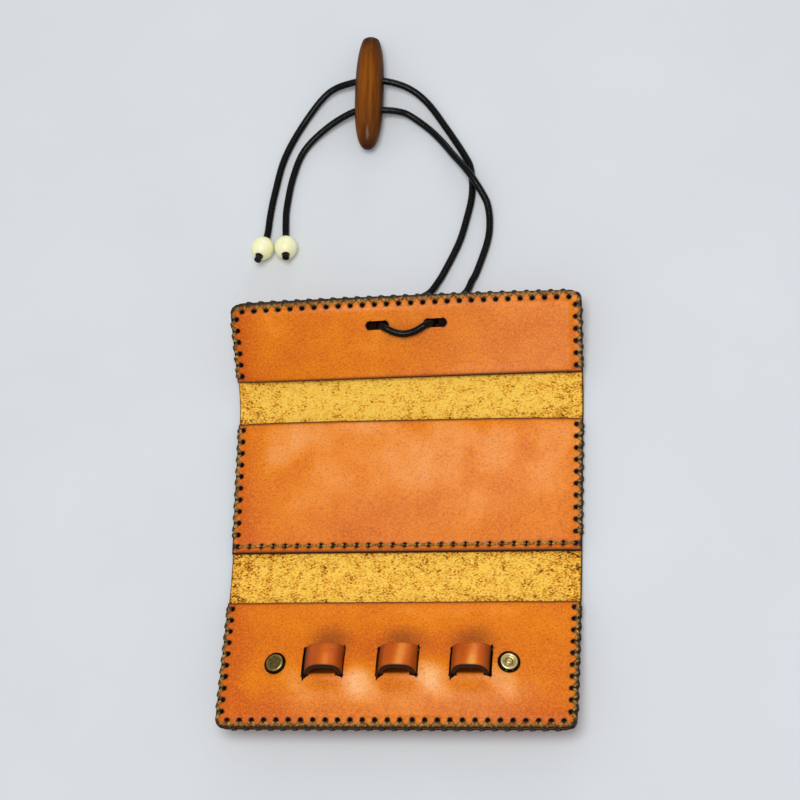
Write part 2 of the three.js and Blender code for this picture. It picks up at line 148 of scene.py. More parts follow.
# Tie cord, toggle and beads
CORD_R = 1.2
TOGGLE_LENGTH = 41.6
TOGGLE_R = 5.0
TOGGLE_ROUND = 2.5  # 2 for an oval outline, more for a fuller one
TOGGLE_BLUNT = 0.92  # share of the outline that the far end keeps
TOGGLE_AT = (-17.0, 149.8, TOGGLE_R)
TOGGLE_TURN = 0.2  # degrees
TOGGLE_HOLES = (4.6, -6.4)  # along it from its middle
TOGGLE_BORE = CORD_R + 0.15
BEAD_R = 3.88
BEAD_HALF = 4.3
BEAD_BORE = CORD_R + 0.12
BEAD_TILT = 26
BEADS = {"left": (-52.6, 94.1, 3.95, -10), "right": (-44.4, 94.2, 3.95, 8)}  # x, y, z, turn in degrees
BIGHT_ROUTE = (  # x, up along the flap from the pocket's mouth, out
    (-7.3, 20.1, -2.6), (-8.3, 19.0, -1.7), (-8.8, 18.2, 0.2), (-8.7, 17.9, 2.2),
    (-8.0, 17.8, 4.2), (-6.3, 17.1, 5.5), (-3.8, 15.8, 5.7), (-1.0, 15.0, 5.6),
    (1.8, 15.2, 5.6), (4.5, 16.2, 5.7), (6.8, 17.5, 5.3), (8.5, 18.0, 3.6),
    (9.3, 18.1, 1.6), (9.8, 18.4, -0.4), (10.2, 19.1, -1.9), (10.7, 20.1, -2.9),
)
CORD_ROUTES = {  # x, y, z from the back of the flap through the toggle and a bead
    "left": (
        (-7.1, 66.1, 10.7), (-4.6, 68.6, 9.4), (-1.6, 71.0, 7.2), (2.0, 73.6, 4.8), (5.7, 76.6, 2.5),
        (8.1, 80.3, 1.5), (10.6, 84.8, 1.3), (15.2, 94.8, 1.3), (17.7, 103.8, 1.3), (19.3, 112.5, 1.3),
        (18.7, 121.4, 1.3), (16.5, 126.7, 1.3), (10.0, 137.0, 1.4), (3.0, 146.8, 2.0), (-3.7, 152.0, 3.6),
        (-11.6, 154.4, 4.95), (-17.1, 154.4, 5.0), (-22.6, 154.4, 4.95), (-31.8, 151.6, 3.2),
        (-40.3, 141.4, 1.5), (-46.8, 128.5, 1.3), (-49.8, 115.2, 1.3), (-51.0, 107.4, 1.3),
        (-51.4, 102.8, 1.3), (-51.7, 99.9, 1.5), (-52.0, 97.7, 2.2), (-52.6, 94.1, 3.95), (-53.5, 88.8, 6.55),
    ),
    "right": (
        (10.8, 66.8, 8.8), (12.4, 69.3, 7.2), (14.6, 72.0, 5.2), (16.7, 74.6, 3.5), (18.5, 77.1, 2.2),
        (19.9, 80.8, 1.4), (21.6, 84.4, 1.3), (24.8, 94.4, 1.3), (25.6, 101.0, 1.4), (25.0, 107.4, 2.0),
        (23.2, 111.8, 2.8), (18.4, 119.3, 4.2), (12.5, 126.8, 2.9), (8.3, 132.3, 1.8), (3.5, 137.3, 1.6),
        (-2.9, 142.0, 2.6), (-6.6, 143.1, 3.9), (-11.4, 143.4, 4.95), (-16.9, 143.4, 5.0),
        (-22.2, 143.3, 4.9), (-31.3, 138.8, 3.2), (-39.8, 131.1, 1.5), (-43.6, 120.9, 1.3),
        (-45.3, 109.8, 1.3), (-45.4, 104.0, 1.3), (-45.2, 100.2, 1.5), (-44.95, 97.8, 2.2),
        (-44.4, 94.2, 3.95), (-43.75, 89.6, 6.2),
    ),
}

# Camera, with its roll in degrees
CAMERA_AT = (132.47, -197.42, 755.38)
CAMERA_TARGET = (-3.68, 39.75, 0.0)
CAMERA_ROLL = 1.8175
CAMERA_LENS = 108

# Floor and light, in metres
FLOOR_HALF = 6.0
WORLD_TINT = (0.97, 0.985, 1.0, 1)
WORLD_STRENGTH = 0.5
LIGHTS = {  # direction, distance, size, power, tint
    "overhead": ((0.03, -0.04, 0.98), 1.15, 0.55, 6.9, (1.0, 0.985, 0.96)),
    "back": ((0.12, 0.95, 0.28), 1.2, 0.4, 1.2, (1.0, 0.99, 0.97)),
}


# The case's bent profile

def smooth(t):
    t = np.clip(t, 0, 1)
    return t * t * (3 - 2 * t)


def hump(distance, width):
    """1 at no distance, falling away softly over a width."""
    return np.exp(-((distance / width) ** 2))


def bent(length, turn, along):
    """How far a fold and the straight stretch past it carry the profile on and up, and its heading there."""
    within = np.clip(along, 0, length)
    past = np.maximum(along - length, 0)
    heading = turn * within / length
    radius = length / turn
    on = radius * np.sin(heading) + past * np.cos(heading)
    return on, radius * (1 - np.cos(heading)) + past * np.sin(heading), heading


def low_fold(s):
    return bent(LENGTHS[1], math.radians(LOW_TURN), MIDDLE_START - s)


def high_fold(x, s):
    return bent(LENGTHS[3], np.radians(HIGH_TURN + HIGH_TWIST * x / (WIDTH / 2)), s - MIDDLE_END)


# The origin is halfway from the bottom edge to the flap's furthest corner.
FURTHEST_X = WIDTH / 2 - LACED_CORNER
MIDDLE_Y = (MIDDLE_START - low_fold(0)[0] + MIDDLE_END + high_fold(FURTHEST_X, LENGTH)[0]) / 2


def place(x, s, out):
    """Points of the case from their flat places."""
    low_on, low_up, low_heading = low_fold(s)
    high_on, high_up, high_heading = high_fold(x, s)
    heading = high_heading - low_heading
    y = np.clip(s, MIDDLE_START, MIDDLE_END) - low_on + high_on - MIDDLE_Y - out * np.sin(heading)
    z = low_up + high_up + out * np.cos(heading)
    return np.stack(np.broadcast_arrays(x, y, z), -1)


def half_width(s):
    """Half the leather's width, less what its rounded corners take at either end."""
    inset = CORNER - np.minimum(np.minimum(s - LOW_EDGE, HIGH_EDGE - s), CORNER)
    return HALF - CORNER + np.sqrt(np.maximum(CORNER**2 - inset**2, 0))


def edge_distance(x, s):
    """How far a place lies in from the leather's outer edge, up to a corner's radius."""
    beside = np.maximum(CORNER - (HALF - np.abs(x)), 0)
    beyond = np.maximum(CORNER - np.minimum(s - LOW_EDGE, HIGH_EDGE - s), 0)
    return CORNER - np.hypot(beside, beyond)


# Meshes

def loft(rings, wrap=False):
    """Points and faces of a skin over closed rings, its ends capped or joined to each other."""
    rings = np.asarray(rings, float)
    count, sides = rings.shape[:2]
    index = np.arange(count * sides).reshape(count, sides)
    rows = np.vstack([index, index[:1]]) if wrap else index
    a, b = rows[:-1], rows[1:]
    faces = np.stack([a, np.roll(a, -1, 1), np.roll(b, -1, 1), b], -1).reshape(-1, 4).tolist()
    if not wrap:
        faces += [index[0][::-1].tolist(), index[-1].tolist()]
    return rings.reshape(-1, 3), faces


def merge(parts):
    """Several sets of points and faces as one."""
    points, faces, start = [], [], 0
    for part_points, part_faces in parts:
        points.append(part_points)
        faces += [[start + i for i in face] for face in part_faces]
        start += len(part_points)
    return np.concatenate(points), faces


def whole_turn(sides):
    return np.linspace(0, 2 * np.pi, sides, endpoint=False)


def unit(vectors):
    return vectors / np.linalg.norm(vectors, axis=-1, keepdims=True)


def curve_through(points, per_span):
    """Points of a smooth curve through the given ones."""
    p = np.asarray(points, float)
    p = np.concatenate([[2 * p[0] - p[1]], p, [2 * p[-1] - p[-2]]])
    t = np.linspace(0, 1, per_span, endpoint=False)[:, None]
    spans = [
        b + t * (c - a) / 2 + t**2 * (2 * a - 5 * b + 4 * c - d) / 2 + t**3 * (3 * b - a - 3 * c + d) / 2
        for a, b, c, d in zip(p, p[1:], p[2:], p[3:])
    ]
    return np.concatenate([*spans, p[-2:-1]])


TUBE_SIDES = 8


def tube(path, normal, width, height):
    """Rings of an oval section along a path, with its thin way along the normal."""
    tangent = unit(np.gradient(path, axis=0))
    across = unit(np.cross(normal, tangent))
    upward = np.cross(tangent, across)
    angle = whole_turn(TUBE_SIDES)[:, None]
    wide = np.broadcast_to(width, len(path))[:, None, None] / 2
    aside = path[:, None] + np.cos(angle) * across[:, None] * wide
    return aside + np.sin(angle) * upward[:, None] * height / 2


def lathe(outline, sides):
    """Rings about +Z through radius and height rows."""
    angle = whole_turn(sides)
    r, z = np.asarray(outline, float).T[:, :, None]
    return np.stack(np.broadcast_arrays(r * np.cos(angle), r * np.sin(angle), z), -1)


def mesh_of(points, faces, *materials):
    mesh = bpy.data.meshes.new("scratch")
    mesh.from_pydata(np.asarray(points).tolist(), [], faces)
    mesh.validate()
    for material in materials:
        mesh.materials.append(material)
    return mesh


def vertices_of(mesh):
    flat = np.empty(3 * len(mesh.vertices), np.float32)
    mesh.vertices.foreach_get("co", flat)
    return flat.reshape(-1, 3).astype(float)


def put(name, data):
    """A new object in the scene, with its data named after it."""
    data.name = name
    made = bpy.data.objects.new(name, data)
    bpy.context.collection.objects.link(made)
    return made


def paint(mesh, name, values):
    mesh.attributes.new(name, "FLOAT", "POINT").data.foreach_set("value", np.asarray(values, np.float32))


def cut(mesh, tool_points, tool_faces):
    """The mesh less a tool's solids, with its third material in the cuts if it has one."""
    tool_mesh = mesh_of(tool_points, tool_faces)
    for polygon in tool_mesh.polygons:
        polygon.material_index = 2 if len(mesh.materials) > 2 else 0
    body, tool = put("scratch", mesh), put("scratch", tool_mesh)
    modifier = body.modifiers.new("cut", "BOOLEAN")
    modifier.operation = "DIFFERENCE"
    modifier.solver = "EXACT"
    modifier.object = tool
    result = bpy.data.meshes.new_from_object(body.evaluated_get(bpy.context.evaluated_depsgraph_get()))
    for thing in (body, tool):
        bpy.data.objects.remove(thing)
    return result


def finish_piece(name, mesh, node=None, sharp=40):
    """A piece of the object from a mesh in millimetres."""
    mesh.transform(Matrix.Scale(MM, 4))
    mesh.shade_smooth()
    mesh.set_sharp_from_angle(angle=math.radians(sharp))
    made = put(name, mesh)
    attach(made, "root")
    if node:
        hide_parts(node)
    return made


# Materials

def colour(*display):
    """A linear colour from display values up to 255."""
    values = (v / 255 for v in display)
    return tuple(v / 12.92 if v <= 0.04045 else ((v + 0.055) / 1.055) ** 2.4 for v in values)


class Finish:
    """A material's node tree, with short calls for the nodes that the finishes share."""

    def __init__(self, name, **sockets):
        self.material = bpy.data.materials.new(name)
        self.material.use_nodes = True
        self.tree = self.material.node_tree
        self.shader = self.tree.nodes["Principled BSDF"]
        for socket, value in sockets.items():
            self.shader.inputs[socket.replace("_", " ")].default_value = value
        place_m = self.add("TexCoord").outputs["Object"]
        self.place = self.add("VectorMath", {0: place_m, "Scale": 1 / MM}, operation="SCALE").outputs[0]

    def add(self, kind, inputs=None, **settings):
        node = self.tree.nodes.new("ShaderNode" + kind)
        for key, value in settings.items():
            setattr(node, key, value)
        for socket, value in (inputs or {}).items():
            if isinstance(value, bpy.types.NodeSocket):
                self.tree.links.new(value, node.inputs[socket])
            else:
                node.inputs[socket].default_value = value
        return node

    def drive(self, socket, value):
        self.tree.links.new(value, self.shader.inputs[socket])

    def noise(self, per_mm, detail=2.0, stretch=(1, 1, 1)):
        at = self.add("VectorMath", {0: self.place, 1: stretch}, operation="MULTIPLY").outputs[0]
        return self.add("TexNoise", {"Vector": at, "Scale": per_mm, "Detail": detail}).outputs["Fac"]

    def cells(self, per_mm):
        return self.add("TexVoronoi", {"Vector": self.place, "Scale": per_mm}).outputs["Distance"]

    def painted(self, name):
        return self.add("Attribute", attribute_name=name).outputs["Fac"]

    def math(self, operation, a, b):
        return self.add("Math", {0: a, 1: b}, operation=operation).outputs[0]

    def range(self, value, low, high, to_low, to_high):
        inputs = {"Value": value, "From Min": low, "From Max": high, "To Min": to_low, "To Max": to_high}
        return self.add("MapRange", inputs).outputs["Result"]

    def mix(self, factor, a, b):
        first, second = (v if isinstance(v, bpy.types.NodeSocket) else (*v, 1) for v in (a, b))
        return self.add("Mix", {0: factor, 6: first, 7: second}, data_type="RGBA").outputs[2]

    def fade(self, value, low, high, a, b, share=1.0):
        """From a to b, or a share of the way, as the value goes from low to high."""
        return self.mix(self.range(value, low, high, 0, share), a, b)

    def bump(self, height, depth, normal=None):
        """Relief of a depth in millimetres on top of an earlier one."""
        inputs = {"Height": height, "Strength": 1.0, "Distance": depth * MM}
        if normal:
            inputs["Normal"] = normal
        return self.add("Bump", inputs).outputs["Normal"]


# Dark brown of the dyed edges, also used for painted shade.
DYE_AND_SHADE = colour(30, 14, 4)


def grain_leather(name, tints, roughness, grain=0.5):
    """Smooth dyed leather from deep to light by a painted value that also carries painted sheen and shade,
    palest in painted highlights, dark at its dyed rims and holes and where shade is painted.
    """
    deep, light, painted_highlight = (colour(*tint) for tint in tints)
    finish = Finish(name, Specular_IOR_Level=0.25)
    clouds = finish.noise(0.07, 7)
    specks = finish.noise(1.7, 3)
    # The painted value makes the leather lighter or darker: painted sheen and painted shade.
    worn = finish.math("MULTIPLY", finish.painted("worn"), finish.range(clouds, 0.3, 0.7, 0.4, 1.35))
    tint = finish.mix(worn, deep, light)
    # Past 0.9 it turns to the pale tint of a painted highlight.
    tint = finish.fade(worn, 0.9, 2.5, tint, painted_highlight)
    tint = finish.fade(specks, 0.5, 0.7, tint, tuple(0.6 * v for v in deep), grain)
    tint = finish.fade(specks, 0.5, 0.3, tint, tuple(1.2 * v for v in light), grain)
    # The rim value darkens to the dark dye: dyed rims and holes, and painted shade.
    finish.drive("Base Color", finish.fade(finish.painted("rim"), 0.15, 0.85, tint, DYE_AND_SHADE))
    uneven = finish.range(finish.noise(0.9, 4), 0.3, 0.7, roughness + 0.1, roughness + 0.24)
    finish.drive("Roughness", finish.math("SUBTRACT", uneven, finish.range(worn, 0, 1, 0, 0.16)))
    relief = finish.bump(finish.cells(1.9), 0.015)
    finish.drive("Normal", finish.bump(specks, 0.05, relief))
    return finish.material


def suede_leather():
    """The flesh side: golden nap with brown flecks, thicker where painted, which also paints shade at the
    bottom of the lace holes.
    """
    finish = Finish("suede", Roughness=0.95, Specular_IOR_Level=0.1)
    nap = finish.noise(2.2, 4)
    flecks = finish.noise(1.6, 5, (0.8, 1.2, 1))
    patches = finish.noise(0.32, 4)
    soil = finish.math("MULTIPLY", finish.painted("soil"), 0.1)
    level = finish.math("ADD", flecks, finish.range(patches, 0.35, 0.7, -0.1, 0.07))
    level = finish.math("ADD", level, soil)
    tint = finish.fade(nap, 0.35, 0.65, colour(255, 192, 54), colour(255, 220, 108))
    tint = finish.fade(level, 0.45, 0.6, tint, colour(214, 128, 22), 0.75)
    tint = finish.fade(level, 0.6, 0.74, tint, colour(70, 34, 6), 0.95)
    # The rim value darkens to the dark dye: dyed edges, and painted shade behind the cord slots and under the
    # lace holes.
    finish.drive("Base Color", finish.fade(finish.painted("rim"), 0.3, 0.9, tint, DYE_AND_SHADE))
    relief = finish.bump(nap, 0.16)
    finish.drive("Normal", finish.bump(flecks, 0.12, relief))
    return finish.material


def dyed_edge():
    """Burnished leather edges, dyed dark."""
    finish = Finish("dyed_edge", Roughness=0.5, Specular_IOR_Level=0.25)
    streaks = finish.noise(0.6, 4, (1, 1, 3))
    finish.drive("Base Color", finish.fade(streaks, 0.35, 0.7, DYE_AND_SHADE, colour(70, 36, 12)))
    finish.drive("Normal", finish.bump(streaks, 0.1))
    return finish.material


def waxed_lace():
    """Waxed sinew, olive brown with pale fibres, with painted shade where it goes into its holes and over the
    edge.
    """
    finish = Finish("waxed_lace", Roughness=0.5, Specular_IOR_Level=0.2)
    fibres = finish.noise(2.0, 4)
    patches = finish.noise(0.5, 2)
    tint = finish.fade(patches, 0.3, 0.7, colour(96, 64, 20), colour(170, 126, 56))
    tint = finish.fade(fibres, 0.52, 0.68, tint, colour(226, 180, 98), 0.8)
    tint = finish.fade(fibres, 0.46, 0.34, tint, colour(48, 28, 6), 0.8)
    # The rim value is painted shade on the lace.
    finish.drive("Base Color", finish.mix(finish.painted("rim"), tint, DYE_AND_SHADE))
    finish.drive("Normal", finish.bump(fibres, 0.14))
    return finish.material


def cord_leather():
    """Round black leather cord with a satin skin."""
    finish = Finish("cord_skin", Specular_IOR_Level=0.16)
    skin = finish.noise(1.6, 4)
    finish.drive("Base Color", finish.fade(skin, 0.35, 0.7, colour(1, 1, 1), colour(12, 12, 10)))
    finish.drive("Roughness", finish.range(skin, 0.3, 0.7, 0.16, 0.34))
    finish.drive("Normal", finish.bump(skin, 0.08))
    return finish.material


def antique_brass(name, bright, dull):
    """Brass darkened where painted: patina in its recesses, and painted shade round a cap's edge."""
    finish = Finish(name, Metallic=1.0)
    wear = finish.noise(1.1, 4)
    patina_and_shade = finish.math("MULTIPLY", finish.painted("rim"), finish.range(wear, 0.2, 0.6, 0.85, 1.1))
    tint = finish.fade(wear, 0.35, 0.7, bright, dull)
    finish.drive("Base Color", finish.mix(patina_and_shade, tint, colour(28, 20, 8)))
    finish.drive("Roughness", finish.range(wear, 0.3, 0.7, 0.26, 0.45))
    finish.drive("Normal", finish.bump(wear, 0.03))
    return finish.material


def lacquered_wood():
    """Brown hardwood under a clear coat, darker towards its ends, with painted shade down its sides."""
    finish = Finish("lacquered_wood", Roughness=0.5, Specular_IOR_Level=0.06,
                    Coat_Weight=0.16, Coat_Roughness=0.1)
    grain = finish.noise(0.7, 4, (1, 0.06, 1))
    bands = finish.noise(0.12, 2, (1, 0.25, 1))
    tint = finish.fade(grain, 0.35, 0.7, colour(138, 74, 0), colour(84, 40, 0))
    tint = finish.fade(bands, 0.4, 0.65, tint, colour(78, 36, 0), 0.5)
    finish.drive("Base Color", finish.mix(finish.painted("rim"), tint, colour(34, 13, 0)))
    finish.drive("Normal", finish.bump(grain, 0.03))
    return finish.material


def cream_bead():
    """A polished cream bead with faint clouds."""
    finish = Finish("cream_bead", Roughness=0.35, Subsurface_Weight=0.15, Subsurface_Scale=0.002)
    clouds = finish.noise(0.5, 3)
    tint = finish.fade(clouds, 0.35, 0.7, colour(255, 252, 190), colour(255, 255, 220))
    finish.drive("Base Color", tint)
    finish.drive("Normal", finish.bump(finish.noise(1.4, 3), 0.03))
    return finish.material


def pale_floor():
    finish = Finish("pale_floor", Roughness=0.8, Specular_IOR_Level=0.1)
    weave = finish.noise(0.02, 4)
    tint = finish.fade(weave, 0.3, 0.7, colour(216, 221, 226), colour(219, 224, 229))
    finish.drive("Base Color", tint)
    return finish.material


# Deep, light and painted-highlight tints of each leather.
PANEL_LEATHER = grain_leather("panel_leather", ((208, 94, 0), (236, 131, 2), (255, 182, 110)), 0.36)
COVER_LEATHER = grain_leather("outside_leather", ((196, 92, 8), (222, 120, 28), (236, 150, 70)), 0.48)
STRIP_LEATHER = grain_leather("loop_leather", ((164, 62, 0), (216, 102, 0), (255, 186, 80)), 0.34, 0.2)
SUEDE = suede_leather()
EDGE = dyed_edge()
LACE = waxed_lace()
CORD = cord_leather()
WOOD = lacquered_wood()
BEAD = cream_bead()


# Camera

def aim_camera():
    camera = put("camera", bpy.data.cameras.new("camera"))
    at, target = Vector(CAMERA_AT) * MM, Vector(CAMERA_TARGET) * MM
    back = (at - target).normalized()
    right = Vector((0, 1, 0)).cross(back).normalized()
    facing = Matrix((right, back.cross(right), back)).transposed().to_4x4()
    camera.matrix_world = Matrix.Translation(at) @ facing @ Matrix.Rotation(math.radians(CAMERA_ROLL), 4, "Z")
    camera.data.lens = CAMERA_LENS
    bpy.context.scene.camera = camera


aim_camera()


# Tie cord

def cord_piece(name, points, node):
    """A round cord along a route."""
    curve = bpy.data.curves.new(name, "CURVE")
    curve.dimensions = "3D"
    curve.bevel_depth = CORD_R * MM
    curve.bevel_resolution = 6
    curve.use_fill_caps = True
    path = curve_through(points, 6) * MM
    spline = curve.splines.new("POLY")
    spline.points.add(len(path) - 1)
    spline.points.foreach_set("co", np.column_stack([path, np.ones(len(path))]).ravel())
    spline.use_smooth = True
    curve.materials.append(CORD)
    made = put(name, curve)
    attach(made, "root")
    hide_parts(node)
    length = np.linalg.norm(np.diff(path, axis=0), axis=1).sum()
    return made, float(length)


def strung(points, at, turn, tilt=0):
    """Points of a lathed piece laid along Y, tipped up at its near end, turned and moved to its place."""
    facing = Matrix.Rotation(math.radians(turn), 3, "Z") @ Matrix.Rotation(math.radians(-90 - tilt), 3, "X")
    return points @ np.array(facing).T + np.array(at)


def toggle_piece():
    """A wooden barrel, blunt at its far end, with a cross hole for each cord end."""
    angle = np.linspace(-np.pi / 2, np.pi / 2, 60)
    along = np.sin(angle)
    share = np.where(along > 0, along * TOGGLE_BLUNT, -along)
    radius = TOGGLE_R * (1 - share**TOGGLE_ROUND).clip(1e-6) ** (1 / TOGGLE_ROUND)
    radius = radius * (0.75 + 0.25 * smooth((1 - along) / 0.03))
    points, faces = loft(lathe(np.column_stack([radius, along * TOGGLE_LENGTH / 2]), 48))
    mesh = mesh_of(strung(points, TOGGLE_AT, TOGGLE_TURN), faces, WOOD)
    rod = lathe([(TOGGLE_BORE, end * TOGGLE_R) for end in (-2, 2)], 24)[..., [2, 0, 1]]
    points, faces = merge([loft(rod + (0, 0, hole)) for hole in TOGGLE_HOLES])
    mesh = cut(mesh, strung(points, TOGGLE_AT, TOGGLE_TURN), faces)
    beside, along, _ = (vertices_of(mesh) - TOGGLE_AT).T
    # Darker towards the ends, and painted shade down the sides.
    paint(mesh, "rim", np.maximum(0.9 * (along / TOGGLE_LENGTH * 2) ** 4, (beside / TOGGLE_R) ** 4))
    return finish_piece("wooden_toggle", mesh, "toggle")


def bead_piece(side):
    """An oval bead drilled along its length, with eased holes."""
    *at, turn = BEADS[side]
    mouth = math.asin((BEAD_BORE + 0.35) / BEAD_R)
    angle = np.linspace(-np.pi / 2 + mouth, np.pi / 2 - mouth, 28)
    ball = np.column_stack([BEAD_R * np.cos(angle), BEAD_HALF * np.sin(angle)])
    lip = BEAD_HALF * math.cos(mouth)
    ease = [(BEAD_BORE + 0.1, lip - 0.05), (BEAD_BORE, lip - 0.3)]
    outline = np.concatenate([ball, ease, [(r, -z) for r, z in reversed(ease)]])
    points, faces = loft(lathe(outline, 40), wrap=True)
    mesh = mesh_of(strung(points, at, turn, BEAD_TILT), faces, BEAD)
    return finish_piece(f"cream_bead_{side}", mesh, f"bead_{side}")


toggle = toggle_piece()
for side, route in CORD_ROUTES.items():
    on_cord = [bead_piece(side)]
    if side == "left":
        on_cord.append(toggle)
    cord, cord_length = cord_piece(f"tie_cord_{side}", route, f"cord_{side}")
bight_x, bight_up, bight_out = np.transpose(BIGHT_ROUTE)
cord_piece("tie_cord_bight", place(bight_x, FLAP_START + bight_up, bight_out), "cord_bight")


# Lacing and stitching holes

class Rim:
    """A laced edge: its path, its outward normals and its holes, as lengths along the path."""

    def __init__(self, points, normals, holes):
        self.points = np.asarray(points, float)
        self.normals = np.asarray(normals, float)
        self.along = np.concatenate([[0], np.cumsum(np.linalg.norm(np.diff(self.points, axis=0), axis=1))])
        self.holes = np.asarray(holes)

    def at(self, along, inset):
        """Flat places a way in from the edge."""
        beside = [np.interp(along, self.along, column) for column in self.points.T]
        facing = [np.interp(along, self.along, column) for column in self.normals.T]
        return tuple(edge - inset * way for edge, way in zip(beside, facing))

    def inset(self, along):
        """How far in its holes are, which is further at the case's ends than at its sides."""
        facing = np.abs(np.interp(along, self.along, self.normals[:, 1]))
        return SIDE_INSET + (END_INSET - SIDE_INSET) * facing

    def hole_places(self):
        return np.column_stack(self.at(self.holes, self.inset(self.holes)))


def round_end(mouth, first, count, top):
    """The rim down one side of a pocket, round the case's end and up the other side."""
    edge, up = (HIGH_EDGE, -1) if top else (LOW_EDGE, 1)
    side = abs(mouth - edge) - CORNER
    turn = np.radians(np.linspace(180, 270, 25))
    arc = np.column_stack([np.cos(turn), np.sin(turn)])
    left = np.concatenate([[(-HALF, side + CORNER)], CORNER * arc + (CORNER - HALF, CORNER)])
    facing = np.concatenate([[(-1, 0)], arc])
    points = np.concatenate([left, left[::-1] * (-1, 1)]) * (1, up) + (0, edge)
    normals = np.concatenate([facing, facing[::-1] * (-1, 1)]) * (1, up)
    start = side + CORNER * np.pi / 2
    straight = 2 * (HALF - CORNER)
    total = 2 * start + straight
    down = first + LACE_PITCH * np.arange(count)
    holes = np.concatenate([down, start + np.linspace(0, straight, END_HOLES), (total - down)[::-1]])
    return Rim(points, normals, holes)


def straight_side(way, top, bottom, first, count):
    """The rim down one straight side."""
    points = [(way * HALF, top), (way * HALF, bottom)]
    return Rim(points, [(way, 0), (way, 0)], first + LACE_PITCH * np.arange(count))


RIMS = {
    "flap": [round_end(FLAP_START, *SIDE_HOLES["flap"], top=True)],
    "middle": [straight_side(way, MIDDLE_END, MIDDLE_START, *SIDE_HOLES["middle"]) for way in (-1, 1)],
    "lower": [round_end(LOWER_END, *SIDE_HOLES["lower"], top=False)],
}
LACE_HOLES = {name: np.concatenate([rim.hole_places() for rim in rims]) for name, rims in RIMS.items()}
STITCH_HOLES = np.array([(x, STITCH_S) for x in np.linspace(-STITCH_X, STITCH_X, STITCHES + 1)])
LACE_HOLES["middle"] = np.concatenate([LACE_HOLES["middle"], STITCH_HOLES])
ALL_HOLES = np.concatenate(list(LACE_HOLES.values()))


def nearest(points, x, s):
    """The distance from each flat place to the nearest of the points."""
    return np.min([np.hypot(x - px, s - ps) for px, ps in points], axis=0)


# Leather sheets

def nothing(x, s):
    return np.zeros(len(x))


def across(x):
    """A flat arch from side to side."""
    return 1 - np.abs(x / (WIDTH / 2)) ** FLATNESS


def lower_lift(x, s):
    """Highest along the strip between the rivets, with a slight lip at the mouth."""
    below = smooth(s / STRIP_S)
    above = 1 - (1 - LOWER_MOUTH) * smooth((s - STRIP_S) / (LOWER_END - STRIP_S))
    ridge = LOWER_RISE * np.where(s < STRIP_S, below, above) * smooth((RIDGE_HALF - np.abs(x)) / RIDGE_FADE)
    return SEAM + ridge + LOWER_LIP * smooth((s - LOWER_END) / LIP_LENGTH + 1) * across(x)


def middle_lift(x, s):
    return SEAM + MIDDLE_RISE * smooth((s - MIDDLE_START) / (MIDDLE_END - MIDDLE_START)) * across(x)


def flap_lift(x, s):
    return SEAM + FLAP_RISE * ((LENGTH - s) / (LENGTH - FLAP_START)) ** 2 * across(x)


def rolled(edge):
    """How far a face falls away within an edge's rounding."""
    share = 1 - np.clip(edge / ROLL, 0, 1)
    return ROLL * (1 - np.sqrt(1 - share**2))


def pinch(x, s):
    """Where the lacing presses the leather thin, from 1 at the holes to 0 further in."""
    laced = smooth((LOWER_END - s) / 2 + 1)
    laced = np.maximum(laced, smooth((s - MIDDLE_START) / 2 + 1) * smooth((MIDDLE_END - s) / 2 + 1))
    laced = np.maximum(laced, smooth((s - FLAP_START) / 2 + 1))
    rim = laced * smooth((CORNER - edge_distance(x, s)) / 1.8)
    return np.maximum(rim, hump(s - STITCH_S, 0.9))


def ripple(x, s):
    """Slow unevenness of the leather."""
    waves = np.sin(x / 9.1 + s / 17.0) + np.sin(s / 7.3 - x / 23.0 + 1.3) + np.sin(x / 15.7 - s / 11.9 + 2.6)
    return RIPPLE * waves


ROLL_ROWS = np.array((0, 0.05, 0.14, 0.28, 0.46, 0.7))  # over a rounded edge, which ends at 1


def graded(low, high, step):
    """Values about a step apart, closer together at both ends."""
    inner = np.linspace(low + 1, high - 1, round((high - low) / step))
    return np.concatenate([low + ROLL_ROWS, inner, (high - ROLL_ROWS)[::-1]])


CORNER_ROWS = CORNER * (1 - np.cos(np.linspace(0, np.pi / 2, 13)))
LOW_ROWS = LOW_EDGE + CORNER_ROWS
HIGH_ROWS = HIGH_EDGE - CORNER_ROWS[::-1]


def slab(rows, step, thickness, *materials):
    """A closed flat sheet over the case's outline, with materials for its front, back and edges."""
    columns = graded(-HALF, HALF, step) / HALF
    grid_s, share = np.meshgrid(rows, columns, indexing="ij")
    flat = np.column_stack([(share * half_width(grid_s)).ravel(), grid_s.ravel()])
    count = len(flat)
    points = np.concatenate([np.column_stack([flat, np.full(count, t)]) for t in (thickness, 0)])
    index = np.arange(count).reshape(grid_s.shape)
    front = np.stack([index[:-1, :-1], index[:-1, 1:], index[1:, 1:], index[1:, :-1]], -1).reshape(-1, 4)
    back = front[:, ::-1] + count
    loop = np.concatenate([index[0, :-1], index[:-1, -1], index[-1, :0:-1], index[:0:-1, 0]])
    after = np.roll(loop, -1)
    walls = np.column_stack([loop + count, after + count, after, loop])
    mesh = mesh_of(points, np.concatenate([front, back, walls]).tolist(), *materials)
    kinds = np.repeat([0, 1, 2], [len(front), len(back), len(walls)])
    mesh.polygons.foreach_set("material_index", kinds)
    return mesh


def prisms(outlines):
    """Upright prisms through any sheet, one for each flat outline."""
    return merge([loft([[(x, s, z) for x, s in outline] for z in (-20, 20)]) for outline in outlines])


def circle(x, s, radius, sides=14):
    angle = whole_turn(sides)
    return np.column_stack([x + radius * np.cos(angle), s + radius * np.sin(angle)])


def slot_outline(x):
    """A cord slot with round ends."""
    angle = np.radians(np.linspace(-90, 90, 11))
    end = SLOT_HEIGHT / 2 * np.column_stack([np.cos(angle), np.sin(angle)]) + (SLOT_STRAIGHT / 2, 0)
    return np.concatenate([end, -end]) + (x, SLOT_S)


